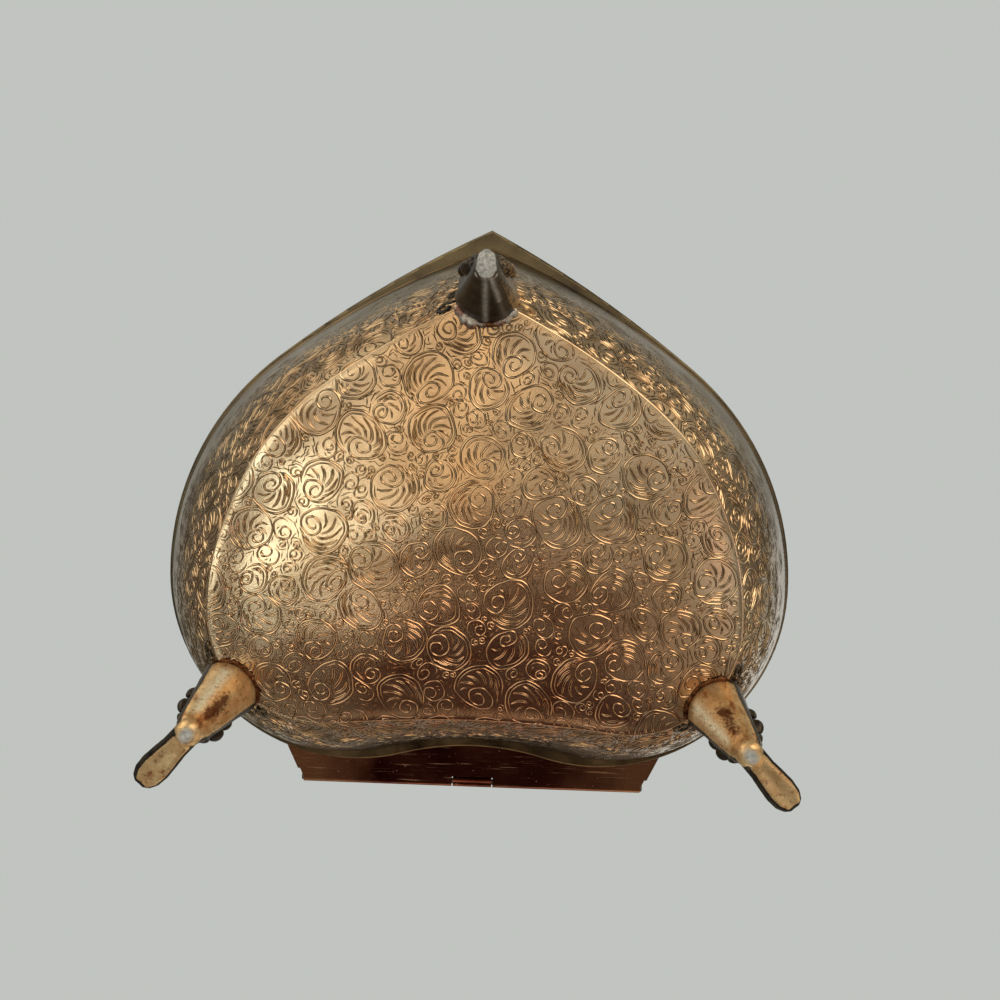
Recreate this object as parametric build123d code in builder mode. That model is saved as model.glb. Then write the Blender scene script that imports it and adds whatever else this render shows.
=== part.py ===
from build123d import *

import os
from math import atan2, cos, degrees, radians, sin, sqrt

# A heart-shaped footed trinket box in millimetres. +Z is up with the feet at z = 0, the heart's
# point is towards -Y and the hinge towards +Y, and the origin is under the middle of the box.

# bowl, with the widest line of every outline at one y
wide_y = 12.0
foot_height = 15.0
wall_height = 27.0
wall_radius = 94.0
wall_lean = 19.0
sheet = 0.6
crown = 1.6
side_angle = 52.0

# outlines: half width, point, lobes, notch and the radius of the long sides
mouth_edge = dict(half_width=53.9, tip=-46.0, lobe=42.9, notch=39.7, side_radius=48.7)
bottom_edge = dict(half_width=39.8, tip=-35.6, lobe=28.2, notch=26.8, side_radius=43.4)
bead_edge = dict(half_width=54.2, tip=-46.3, lobe=44.5, notch=41.4, side_radius=48.9)
lid_edge = dict(half_width=55.0, tip=-49.5, lobe=44.8, notch=41.7, side_radius=49.5)

# mouth of the box
wall_top_z = foot_height + wall_height
wall_centre_z = wall_top_z + wall_radius * sin(radians(wall_lean))
mouth_inset = 1.0
rim_thickness = 1.55
bead_rounding = 0.7
rim_top_z = wall_top_z + rim_thickness

# lid
parting_gap = 0.1
lid_z = rim_top_z + parting_gap
flange_thickness = 1.4
flange_inset = 3.4
flange_rounding = 0.5
dome_z = lid_z + flange_thickness
dome_inset = 1.6
dome_height = 10.0
crown_power = 2.6

# hinge
hinge_y = 48.55
barrel_radius = 0.95
knuckle_half = 3.5
knuckle_gap = 0.2
pin_radius = 0.5
pin_head_radius = 0.75
pin_head = 0.4
fixed_clearance = 0.02
running_clearance = 0.06
leaf_thickness = 0.5
leaf_edge_half = 30.4
barrel_half = leaf_edge_half + 0.1
leaf_root_half = 34.3
leaf_root_y = 40.0
lid_leaf_margin = 0.9
hinge_z = rim_top_z - leaf_thickness + barrel_radius
lid_leaf_z = hinge_z + barrel_radius - leaf_thickness

# feet: where each one touches the table and the way that it points
feet = {
    "foot_front": (0.0, -38.8, -90.0),
    "foot_back_left": (-38.6, 25.7, 132.0),
    "foot_back_right": (38.6, 25.7, 48.0),
}
ball_radius = 2.1
ball_z = 1.85
break_reach = 0.6
break_slope = -38.0
solder_radius = 1.7
solder_reach = -6.6

# card and velvet inside
card_thickness = 0.8
card_clearance = 0.35
lining_gap = 0.1
lining_thickness = 0.9
lining_low_z = 17.4
lining_top_gap = 0.5
pad_height = 3.2
pad_clearance = 1.3
pad_tuck = 0.02
lid_card_z = 47.4
lid_pad_inset = 3.9
lid_pad_height = 3.1


def blend(low, high, share):
    """An outline between two others, or past them."""
    return {key: low[key] + (high[key] - low[key]) * share for key in low}


def inset(edge, amount):
    """An outline drawn in by the same amount all round."""
    return dict(
        half_width=edge["half_width"] - amount,
        tip=edge["tip"] + 1.15 * amount,
        lobe=edge["lobe"] - amount,
        notch=edge["notch"] - amount,
        side_radius=edge["side_radius"] - amount,
    )


def shrunk(edge, share):
    """An outline scaled about the middle of its widest line."""
    return dict(
        half_width=edge["half_width"] * share,
        tip=wide_y + (edge["tip"] - wide_y) * share,
        lobe=wide_y + (edge["lobe"] - wide_y) * share,
        notch=wide_y + (edge["notch"] - wide_y) * share,
        side_radius=edge["side_radius"] * share,
    )


def heart(half_width, tip, lobe, notch, side_radius):
    """A heart of seven arcs: the long sides, the way in to the point, two lobes and a notch."""
    lobe_radius = lobe - wide_y
    lobe_x = half_width - lobe_radius
    notch_drop = notch - wide_y
    notch_radius = (lobe_x**2 + notch_drop**2 - lobe_radius**2) / (2 * (lobe_radius - notch_drop))
    lobe_turn = degrees(atan2(notch_drop + notch_radius, -lobe_x))
    with BuildSketch() as face:
        with BuildLine():
            side = CenterArc((half_width - side_radius, wide_y), side_radius, 0, -side_angle)
            TangentArc(side @ 1, (0, tip), tangent=side % 1)
            lobe_arc = CenterArc((lobe_x, wide_y), lobe_radius, 0, lobe_turn)
            mirror(about=Plane.YZ)
            across = lobe_arc @ 1
            ThreePointArc(across, (0, notch), (-across.X, across.Y))
        make_face()
    return face.sketch


def wall_reach(z, skin=0.0):
    """How far the wall's arc stands out at a height, from the arc's own centre."""
    return sqrt((wall_radius - skin) ** 2 - (wall_centre_z - z) ** 2)


def wall_edge(z, skin=0.0):
    """The outline of the bowl's wall, or of a skin inside it, at a height."""
    full = wall_reach(wall_top_z) - wall_reach(foot_height)
    share = (wall_reach(wall_top_z) - wall_reach(z, skin)) / full
    return blend(mouth_edge, bottom_edge, share)


def wall_solid(skin, low_z, high_z):
    """A solid that fills the bowl's curved wall between two heights."""
    with BuildPart() as solid:
        for step in (0.0, 0.12, 0.28, 0.48, 0.72, 1.0):
            z = low_z + (high_z - low_z) * step
            with BuildSketch(Plane.XY.offset(z)):
                add(heart(**wall_edge(z, skin)))
        loft()
    return solid.part


def bowl(skin, floor_z):
    """The filled wall with the crowned bottom below it."""
    floor_edge = wall_edge(floor_z, skin)
    with BuildPart() as solid:
        add(wall_solid(skin, floor_z, wall_top_z))
        for share in (1.0, 0.85, 0.6, 0.3, 0.05):
            with BuildSketch(Plane.XY.offset(floor_z - crown * (1 - share**2))):
                add(heart(**shrunk(floor_edge, share)))
        loft()
    return solid.part


def crown_share(rise):
    """The share of a dome's outline that is left at a share of its height."""
    return (1 - rise**crown_power) ** (1 / crown_power)


def crowned(edge, base_z, height, tuck=0.0, facets=False):
    """A dome on an outline, or a stuffed pad, whose sides tuck in at its back. Height has a sign."""
    with BuildPart() as solid:
        for turn in (0, 18, 35, 50, 64, 76, 86):
            rise = sin(radians(turn)) ** (2 / crown_power)
            share = crown_share(rise) * (1 - tuck * (1 - rise) ** 8)
            with BuildSketch(Plane.XY.offset(base_z + height * rise)):
                add(heart(**shrunk(edge, share)))
        loft(ruled=facets)
    return solid.part


def dome(skin):
    """The filled dome of the lid, or of a skin inside it."""
    return crowned(inset(bead_edge, dome_inset + skin), dome_z - skin, dome_height)


def leaf_face(margin):
    """A hinge leaf in plan: a trapezoid that narrows towards the barrel."""
    root = leaf_root_half + margin
    end = leaf_edge_half + margin
    with BuildSketch() as face:
        with BuildLine():
            Polyline((-root, leaf_root_y), (root, leaf_root_y), (end, hinge_y), (-end, hinge_y), close=True)
        make_face()
    return face.sketch


def rod(radius, start, end):
    """A round rod along the hinge line."""
    with BuildPart() as bar:
        with BuildSketch(Plane.YZ.offset(start)):
            with Locations((hinge_y, hinge_z)):
                Circle(radius)
        extrude(amount=end - start)
    return bar.part


def hinge_slot(half_length):
    """The space round the barrel that the other leaf's knuckle turns in."""
    side = 2 * (barrel_radius + knuckle_gap)
    with BuildPart() as space:
        with BuildSketch(Plane.YZ.offset(-half_length)):
            with Locations((hinge_y, hinge_z)):
                Rectangle(side, 2 * side)
        extrude(amount=2 * half_length)
    return space.part


def foot_plane(place, reach, z, slope):
    """A section plane across a foot: reach is outward from the ball, slope is the way along it."""
    x, y, turn = place
    out = Vector(cos(radians(turn)), sin(radians(turn)), 0)
    along = out * cos(radians(slope)) + Vector(0, 0, sin(radians(slope)))
    return Plane(Vector(x, y, z) + out * reach, x_dir=Vector(-out.Y, out.X, 0), z_dir=along)


def limb(place, sections):
    """A loft through ellipses: reach, height, slope, half width and half thickness of each."""
    with BuildPart() as solid:
        for reach, z, slope, half_width, half_thickness in sections:
            with BuildSketch(foot_plane(place, reach, z, slope)):
                Ellipse(half_width, half_thickness)
        loft()
    return solid.part


leg_sections = (
    (-1.6, 25.5, -86, 4.6, 2.2),
    (-2.4, 20.0, -84, 6.2, 4.4),
    (-2.6, 14.5, -82, 5.3, 3.7),
    (-2.1, 10.0, -76, 4.1, 2.6),
    (-1.2, 6.0, -68, 3.3, 2.0),
    (-0.2, 2.6, -60, 2.6, 1.8),
    (0.2, 1.6, -50, 2.2, 1.6),
)
toe_sections = (
    (-0.6, 1.4, -6, 2.1, 1.2),
    (2.6, 1.15, 2, 1.75, 0.95),
    (5.6, 1.4, 8, 2.05, 0.85),
    (8.4, 1.95, 13, 2.15, 0.8),
    (10.5, 2.5, 15, 1.3, 0.6),
)

os.makedirs("parts", exist_ok=True)

outer_bowl = bowl(0.0, foot_height)

# the heart-shaped bowl, pressed from one sheet
with BuildPart() as body_shell:
    add(outer_bowl)
    add(bowl(sheet, foot_height + sheet), mode=Mode.SUBTRACT)
body_shell.part.label = "body_shell"
export_step(body_shell.part, "parts/body_shell.step")

# the moulding round the mouth, a flat ring with a rounded bead for its edge
with BuildPart() as body_rim:
    with BuildSketch(Plane.XY.offset(wall_top_z)):
        add(heart(**bead_edge))
    extrude(amount=rim_thickness)
    fillet(body_rim.edges().filter_by(Plane.XY), bead_rounding)
    with BuildSketch(Plane.XY.offset(wall_top_z)):
        add(heart(**inset(mouth_edge, mouth_inset)))
    extrude(amount=rim_thickness, mode=Mode.SUBTRACT)
    with BuildSketch(Plane.XY.offset(rim_top_z - leaf_thickness)):
        add(leaf_face(0.0))
    extrude(amount=leaf_thickness, mode=Mode.SUBTRACT)
body_rim.part.label = "body_rim"
export_step(body_rim.part, "parts/body_rim.step")

# the lower hinge leaf, soldered into the moulding, with the two long lengths of the barrel
with BuildPart() as hinge_leaf_body:
    with BuildSketch(Plane.XY.offset(rim_top_z - leaf_thickness)):
        add(leaf_face(0.0))
        add(heart(**inset(mouth_edge, mouth_inset)), mode=Mode.SUBTRACT)
    extrude(amount=leaf_thickness)
    add(rod(barrel_radius, -barrel_half, barrel_half))
    add(hinge_slot(knuckle_half + knuckle_gap), mode=Mode.SUBTRACT)
    add(rod(pin_radius + fixed_clearance, -barrel_half, barrel_half), mode=Mode.SUBTRACT)
hinge_leaf_body.part.label = "hinge_leaf_body"
export_step(hinge_leaf_body.part, "parts/hinge_leaf_body.step")

# the pin, with its ends spread over the barrel
with BuildPart() as hinge_pin:
    add(rod(pin_radius, -barrel_half, barrel_half))
    add(rod(pin_head_radius, -barrel_half - pin_head, -barrel_half))
    add(rod(pin_head_radius, barrel_half, barrel_half + pin_head))
    fillet(hinge_pin.edges().group_by(Axis.X)[0], 0.6 * pin_head)
    fillet(hinge_pin.edges().group_by(Axis.X)[-1], 0.6 * pin_head)
hinge_pin.part.label = "hinge_pin"
export_step(hinge_pin.part, "parts/hinge_pin.step")

# three cast feet; the front one has lost its toe at the ball
cast_feet = {}
for name, place in feet.items():
    with BuildPart() as foot:
        add(limb(place, leg_sections))
        with Locations((place[0], place[1], ball_z)):
            Sphere(ball_radius)
        if name == "foot_front":
            split(bisect_by=foot_plane(place, break_reach, 0, break_slope), keep=Keep.BOTTOM)
        else:
            add(limb(place, toe_sections))
        split(bisect_by=Plane.XY, keep=Keep.TOP)
        add(outer_bowl, mode=Mode.SUBTRACT)
    foot.part.label = name
    export_step(foot.part, f"parts/{name}.step")
    cast_feet[name] = foot.part

# a run of solder inside the root of each foot
with BuildPart() as foot_solder:
    for name, place in feet.items():
        with Locations(foot_plane(place, solder_reach, foot_height, 0)):
            Sphere(solder_radius)
    add(outer_bowl, mode=Mode.SUBTRACT)
    for casting in cast_feet.values():
        add(casting, mode=Mode.SUBTRACT)
foot_solder.part.label = "foot_solder"
export_step(foot_solder.part, "parts/foot_solder.step")

# card and velvet in the bowl
card_z = foot_height + sheet + lining_gap
with BuildPart() as base_card:
    with BuildSketch(Plane.XY.offset(card_z)):
        add(heart(**wall_edge(card_z, sheet + card_clearance)))
    extrude(amount=card_thickness)
base_card.part.label = "base_card"
export_step(base_card.part, "parts/base_card.step")

pad_z = card_z + card_thickness
with BuildPart() as base_pad:
    add(crowned(wall_edge(pad_z, sheet + pad_clearance), pad_z, pad_height, pad_tuck, facets=True))
base_pad.part.label = "base_pad"
export_step(base_pad.part, "parts/base_pad.step")

lining_skin = sheet + lining_gap
lining_top_z = wall_top_z - lining_top_gap
with BuildPart() as wall_lining:
    add(wall_solid(lining_skin, lining_low_z, lining_top_z))
    add(wall_solid(lining_skin + lining_thickness, lining_low_z, lining_top_z), mode=Mode.SUBTRACT)
wall_lining.part.label = "wall_lining"
export_step(wall_lining.part, "parts/wall_lining.step")

# the lid's flat flange, drawn out to a point to lift it by
with BuildPart() as lid_rim:
    with BuildSketch(Plane.XY.offset(lid_z)):
        add(heart(**lid_edge))
    extrude(amount=flange_thickness)
    fillet(lid_rim.edges().filter_by(Plane.XY), flange_rounding)
    with BuildSketch(Plane.XY.offset(lid_z)):
        add(heart(**inset(bead_edge, flange_inset)))
    extrude(amount=flange_thickness, mode=Mode.SUBTRACT)
    with BuildSketch(Plane.XY.offset(lid_leaf_z)):
        add(leaf_face(lid_leaf_margin))
    extrude(amount=flange_thickness, mode=Mode.SUBTRACT)
lid_rim.part.label = "lid_rim"
export_step(lid_rim.part, "parts/lid_rim.step")

with BuildPart() as lid_shell:
    add(dome(0.0))
    add(dome(sheet), mode=Mode.SUBTRACT)
lid_shell.part.label = "lid_shell"
export_step(lid_shell.part, "parts/lid_shell.step")

# the upper hinge leaf, soldered under the dome, with the short middle length of the barrel
with BuildPart() as hinge_leaf_lid:
    with BuildSketch(Plane.XY.offset(lid_leaf_z)):
        add(leaf_face(lid_leaf_margin))
        add(heart(**inset(bead_edge, flange_inset)), mode=Mode.SUBTRACT)
    extrude(amount=leaf_thickness)
    add(hinge_slot(barrel_half + leaf_root_half), mode=Mode.SUBTRACT)
    with BuildSketch(Plane.XY.offset(lid_leaf_z)):
        with Locations((0, hinge_y - barrel_radius)):
            Rectangle(2 * knuckle_half, 2 * barrel_radius)
    extrude(amount=leaf_thickness)
    add(rod(barrel_radius, -knuckle_half, knuckle_half))
    add(rod(pin_radius + running_clearance, -knuckle_half, knuckle_half), mode=Mode.SUBTRACT)
hinge_leaf_lid.part.label = "hinge_leaf_lid"
export_step(hinge_leaf_lid.part, "parts/hinge_leaf_lid.step")

card_rise = (lid_card_z + card_thickness + sheet - dome_z) / dome_height
card_edge = shrunk(inset(bead_edge, dome_inset + sheet), crown_share(card_rise))
with BuildPart() as lid_card:
    with BuildSketch(Plane.XY.offset(lid_card_z)):
        add(heart(**inset(card_edge, card_clearance)))
    extrude(amount=card_thickness)
lid_card.part.label = "lid_card"
export_step(lid_card.part, "parts/lid_card.step")

with BuildPart() as lid_pad:
    add(crowned(inset(bead_edge, lid_pad_inset), lid_card_z, -lid_pad_height, pad_tuck, facets=True))
lid_pad.part.label = "lid_pad"
export_step(lid_pad.part, "parts/lid_pad.step")
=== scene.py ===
import math
import random

import bmesh
import bpy
import numpy as np
from mathutils import Euler, Matrix, Vector
from mathutils.bvhtree import BVHTree


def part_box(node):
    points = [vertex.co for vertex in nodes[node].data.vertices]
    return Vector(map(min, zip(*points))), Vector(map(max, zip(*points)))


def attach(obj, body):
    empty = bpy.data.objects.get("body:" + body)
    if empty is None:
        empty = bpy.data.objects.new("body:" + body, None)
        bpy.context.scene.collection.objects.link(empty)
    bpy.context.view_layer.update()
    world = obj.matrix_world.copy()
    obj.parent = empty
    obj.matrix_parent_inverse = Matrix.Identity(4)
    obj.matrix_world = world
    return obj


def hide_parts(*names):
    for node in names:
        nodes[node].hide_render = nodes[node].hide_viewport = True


# a heart-shaped footed trinket box of pressed brass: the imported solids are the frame, and this
# script dresses them. Lengths are in millimetres and become metres when a piece is finished
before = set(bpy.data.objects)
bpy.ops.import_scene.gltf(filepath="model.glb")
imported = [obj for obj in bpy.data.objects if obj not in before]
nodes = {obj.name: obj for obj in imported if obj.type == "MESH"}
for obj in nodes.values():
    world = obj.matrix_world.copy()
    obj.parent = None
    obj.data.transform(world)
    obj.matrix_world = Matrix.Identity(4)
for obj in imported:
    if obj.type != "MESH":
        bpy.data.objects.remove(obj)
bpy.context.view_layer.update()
mm = 0.001
scene = bpy.context.scene
scene.view_settings.view_transform = "Standard"


def addObject(name, data):
    made = bpy.data.objects.new(name, data)
    scene.collection.objects.link(made)
    return made


# writes a bmesh to a new mesh and frees it
def writeMesh(bm, name):
    mesh = bpy.data.meshes.new(name)
    bm.to_mesh(mesh)
    bm.free()
    return mesh


print("camera")
# under the box, which stood on its closed lid when it was photographed
cameraView = {
    "place": (2.44, -23.53, -131.06),
    "turnDegrees": (173.374, -0.039, -2.207),
    "lens": 36.0,
    "sensor": 36.0,
}
cameraData = bpy.data.cameras.new("camera")
cameraData.lens = cameraView["lens"]
cameraData.sensor_width = cameraView["sensor"]
cameraData.clip_start = 0.01
cameraData.clip_end = 20
camera = addObject("camera", cameraData)
camera.location = Vector(cameraView["place"]) * mm
camera.rotation_euler = [math.radians(turn) for turn in cameraView["turnDegrees"]]
scene.camera = camera


# sRGB hex to the linear colour that a socket wants. Anything else is handed back as it is
def colour(code):
    if not isinstance(code, str):
        return code
    parts = [int(code[i:i + 2], 16) / 255 for i in (1, 3, 5)]
    return (*[p / 12.92 if p <= 0.04045 else ((p + 0.055) / 1.055) ** 2.4 for p in parts], 1.0)


# adds one node with its settings, fills or links its inputs in order or by name or number, and hands
# back one output. The stops are a colour ramp's own (position, colour) pairs
def addNode(tree, kind, inputs=(), output=0, stops=(), **settings):
    made = tree.nodes.new("ShaderNode" + kind)
    for key, value in settings.items():
        setattr(made, key, value)
    for key, value in inputs.items() if isinstance(inputs, dict) else enumerate(inputs):
        if isinstance(value, bpy.types.NodeSocket):
            tree.links.new(value, made.inputs[key])
        else:
            made.inputs[key].default_value = colour(value)
    for index, (position, tint) in enumerate(stops):
        band = made.color_ramp.elements
        stop = band[index] if index < 2 else band.new(position)
        stop.position = position
        stop.color = colour(tint)
    return made.outputs[output] if made.outputs else made


# lays tints over a base one after another, each by its own share
def layTints(tree, base, *tints):
    for share, tint in tints:
        base = addNode(tree, "Mix", {0: share, 6: base, 7: tint}, 2, data_type="RGBA")
    return base


# noise on the object's own coordinates, its grain given in millimetres
def grain(tree, size, detail=3.0, roughness=0.5, stretch=None):
    place = addNode(tree, "TexCoord", output="Object")
    if stretch:
        place = addNode(tree, "Mapping", {"Vector": place, "Scale": stretch})
    return addNode(tree, "TexNoise", {
        "Vector": place, "Scale": 1 / (size * mm), "Detail": detail, "Roughness": roughness,
    }, "Fac")


print("light")
# a pale room, a window to the left of the camera, and the camera's own shade
room = {
    "background": "#C1C4C0",
    "matt": 0.68,
    # upward part of the direction, how light the room is there and how warm
    "levels": (
        (-1.0, 0.52, 0), (-0.9, 0.5, 0), (-0.8, 0.3, 0.1), (-0.66, 0.17, 0.2), (-0.45, 0.22, 0.3),
        (-0.2, 0.25, 0.4), (0.05, 0.2, 0.5), (0.3, 0.1, 0.8), (0.56, 0.15, 1), (0.74, 0.28, 0.9),
        (0.88, 0.46, 0.8), (1.0, 0.64, 0.6),
    ),
    # what full warmth takes from the green and from the blue
    "warmth": (0.07, 0.24),
    # direction, inner and outer angle, strength of each colour
    "glows": {
        "side": ((-0.74, -0.62, -0.24), 12, 38, (1.3, 1.2, 1.05)),
        "behind": ((0.02, 0.985, -0.12), 5, 14, (1.5, 1.3, 1.0)),
        "ahead": ((0.5, -0.78, -0.37), 8, 29, (2.9, 2.5, 2.0)),
        "farSide": ((0.8, 0.5, -0.1), 8, 34, (0.7, 0.58, 0.44)),
        "towardsLeftFoot": ((0.74, -0.6, 0.30), 8, 25, (1.1, 0.96, 0.74)),
        "towardsRightFoot": ((-0.62, -0.74, 0.22), 9, 27, (1.8, 1.62, 1.32)),
        "towardsFrontFoot": ((0.22, 0.93, 0.3), 3, 9, (1.6, 1.55, 1.5)),
        "shade": ((-0.01, 0.34, -0.94), 12, 22, (0.03, 0.01, 0.008)),
        "shadeLow": ((-0.33, 0.36, -0.87), 7, 14, (0.07, 0.04, 0.03)),
        "shadeLeft": ((-0.70, 0.16, -0.70), 8, 17, (0.09, 0.06, 0.045)),
        "shadeBehind": ((0.1, 0.64, -0.76), 8, 21, (0.035, 0.014, 0.014)),
        "warm": ((-0.08, -0.13, -0.985), 6, 13, (1.25, 0.97, 0.68)),
        "rosy": ((0.62, 0.05, -0.78), 3, 11, (1.9, 1.3, 1.15)),
        "sky": ((-0.22, 0.0, -0.98), 3, 10, (1.2, 1.2, 1.12)),
        "window": ((-0.355, 0.10, -0.93), 3, 9, (3.2, 3.8, 4.1)),
        "ceiling": ((0.42, 0.36, 0.83), 8, 24, (0.95, 0.93, 0.86)),
    },
}
world = bpy.data.worlds.new("pale room")
scene.world = world
world.use_nodes = True
tree = world.node_tree
tree.nodes.clear()
direction = addNode(tree, "TexCoord", output="Generated")
upward = addNode(tree, "SeparateXYZ", (direction,), "Z")
lessGreen, lessBlue = room["warmth"]
levels = [((height + 1) / 2, (level, level * (1 - lessGreen * warmth), level * (1 - lessBlue * warmth), 1))
          for height, level, warmth in room["levels"]]
# what a glossy surface sees
seen = addNode(tree, "ValToRGB", (addNode(tree, "MapRange", (upward, -1, 1, 0, 1)),), stops=levels)
for towards, inner, outer, strength in room["glows"].values():
    middle = Vector(towards).normalized()
    near = addNode(tree, "VectorMath", (direction, middle), "Value", operation="DOT_PRODUCT")
    edges = [math.cos(math.radians(angle)) for angle in (outer, inner)]
    share = addNode(tree, "MapRange", (near, *edges), interpolation_type="SMOOTHSTEP")
    seen = layTints(tree, seen, (share, (*strength, 1)))
glossyRay = addNode(tree, "LightPath", output="Is Glossy Ray")
cameraRay = addNode(tree, "LightPath", output="Is Camera Ray")
matt = (room["matt"], room["matt"], room["matt"] * 0.98, 1)
shown = layTints(tree, matt, (glossyRay, seen), (cameraRay, room["background"]))
addNode(tree, "OutputWorld", {"Surface": addNode(tree, "Background", {"Color": shown, "Strength": 1.0})})

lamps = {
    "above": {"place": (-260, -300, 560), "size": (520, 420), "power": 1.5, "tint": "#FFFFFF"},
    "aboveRight": {"place": (420, 160, 420), "size": (360, 360), "power": 0.7, "tint": "#FFF6EA"},
}
lampAim = Vector((0, 0, 30)) * mm
for name, lamp in lamps.items():
    data = bpy.data.lights.new(name, "AREA")
    data.shape = "RECTANGLE"
    data.size, data.size_y = [side * mm for side in lamp["size"]]
    data.energy = lamp["power"]
    data.color = colour(lamp["tint"])[:3]
    holder = addObject(name, data)
    holder.location = Vector(lamp["place"]) * mm
    holder.visible_glossy = False
    holder.rotation_euler = (lampAim - holder.location).to_track_quat("-Z", "Y").to_euler()

# a pale floor under the feet, clear from below, so that the camera's view stays open
bm = bmesh.new()
bmesh.ops.create_grid(bm, x_segments=1, y_segments=1, size=20.0)
floor = addObject("floor", writeMesh(bm, "floor"))
floorMaterial = bpy.data.materials.new("paleFloor")
floorMaterial.use_nodes = True
tree = floorMaterial.node_tree
tree.nodes.clear()
fromBelow = addNode(tree, "NewGeometry", output="Backfacing")
either = addNode(tree, "MixShader", (
    fromBelow, addNode(tree, "BsdfDiffuse", {"Color": "#D2D3CF"}), addNode(tree, "BsdfTransparent"),
))
addNode(tree, "OutputMaterial", {"Surface": either})
floor.data.materials.append(floorMaterial)
floor.visible_glossy = False
floor.visible_diffuse = False
floor.visible_shadow = False


print("materials")


# each finish below fills one principled shader's inputs from its own nodes
def newMaterial(name, finish, *choices):
    made = bpy.data.materials.new(name)
    made.use_nodes = True
    tree = made.node_tree
    tree.nodes.clear()
    shader = addNode(tree, "BsdfPrincipled", finish(tree, *choices))
    addNode(tree, "OutputMaterial", {"Surface": shader})
    return made


# brass sheet, roller embossed, flashed with copper gold and lacquered: satin between the scrolls,
# brown where polish has gathered against them and darker there as painted shade, pale on their
# crests where rubbed and as painted highlight, rosier where the plating has thinned and darker there
# as painted shade, and dull grey olive up the wall where hands have been, darkened as painted shade
sheetWearAndShade = {
    "copperAndShadeSpot": (4, 30, 12), "copperAndShadeReach": (55, 22), "copperAndShadeRagged": 30,
    "dullAndShadeLow": (26, 44), "dullAndShadeHigh": (42.5, 45), "dullAndShadeRagged": 16,
}


def embossedSheet(tree):
    patches = grain(tree, 4.5, 4, 0.6)
    place = addNode(tree, "TexCoord", output="Object")
    base = addNode(tree, "ValToRGB", (grain(tree, 22, 2, 0.5),), stops=(
        (0.3, "#C8A478"), (0.7, "#E2C8A0"), (0.5, "#D6B68C"),
    ))
    # the copper patch on the bottom where the plating has thinned, darker and rosier also as painted shade
    spot = Vector(sheetWearAndShade["copperAndShadeSpot"]) * mm
    away = addNode(tree, "VectorMath", (place, spot), "Value", operation="DISTANCE")
    away = addNode(tree, "Math", (patches, sheetWearAndShade["copperAndShadeRagged"] * mm, away), operation="MULTIPLY_ADD")
    copperAndShade = addNode(tree, "MapRange", (away, *[far * mm for far in sheetWearAndShade["copperAndShadeReach"]], 0, 0.75))
    # the dulled band up the wall, worn lacquer darkened further as painted shade
    height = addNode(tree, "SeparateXYZ", (place,), "Z")
    band = addNode(tree, "Math", (patches, sheetWearAndShade["dullAndShadeRagged"] * mm, height), operation="MULTIPLY_ADD")
    lowSide = addNode(tree, "MapRange", (band, *[z * mm for z in sheetWearAndShade["dullAndShadeLow"]], 0, 1))
    highSide = addNode(tree, "MapRange", (height, *[z * mm for z in sheetWearAndShade["dullAndShadeHigh"]], 1, 0))
    # painted shade: the wall band is darkened to grey olive, over the dulled lacquer
    dullAndShade = addNode(tree, "Math", (lowSide, highSide), operation="MULTIPLY")
    tarnish = addNode(tree, "MapRange", (patches, 0.5, 0.78, 0.0, 0.5))
    base = layTints(tree, base, (copperAndShade, "#C98358"), (dullAndShade, "#6C6048"), (tarnish, "#94714C"))
    # brown at the foot of a stroke, polish residue and painted shade, and pale on its crest, rubbed brass and
    # painted highlight
    crest = addNode(tree, "Attribute", output="Fac", attribute_name="crest")
    # painted shade: each stroke darkened at its foot, over the polish gathered there
    low = addNode(tree, "Mix", {0: 1.0, 6: base, 7: "#6E5238"}, 2, data_type="RGBA", blend_type="MULTIPLY")
    # painted highlight: each crest paled, over the brass rubbed there
    worn = layTints(tree, base, (0.7, "#FFEBC4"))
    aboveFoot = addNode(tree, "MapRange", (crest, 0.3, 0.7, 0, 1))
    atCrest = addNode(tree, "MapRange", (crest, 0.85, 1, 0, 1))
    fine = grain(tree, 0.3, 3, 0.6)
    return {
        "Base Color": layTints(tree, low, (aboveFoot, base), (atCrest, worn)),
        "Roughness": addNode(tree, "MapRange", (patches, 0.3, 0.7, 0.18, 0.28)),
        "Metallic": 1.0,
        "Normal": addNode(tree, "Bump", {"Height": fine, "Strength": 0.35, "Distance": 0.04 * mm}),
    }


# plain brass moulding, drawn and lacquered: smoother than the sheet, dull olive brown where it is
# handled, with dark specks
def drawnBrass(tree, dark, light, rough):
    patches = grain(tree, 7, 4, 0.6)
    specks = addNode(tree, "MapRange", (grain(tree, 0.7, 2, 0.7), 0.62, 0.75, 0.0, 0.5))
    base = addNode(tree, "ValToRGB", (patches,), stops=((0.3, dark), (0.72, light)))
    fine = grain(tree, 0.35, 2, 0.5)
    return {
        "Base Color": layTints(tree, base, (specks, "#3A2A1C")),
        "Roughness": addNode(tree, "MapRange", (patches, 0.3, 0.7, rough, rough + 0.14)),
        "Metallic": 1.0,
        "Normal": addNode(tree, "Bump", {"Height": fine, "Strength": 0.2, "Distance": 0.03 * mm}),
    }


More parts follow.
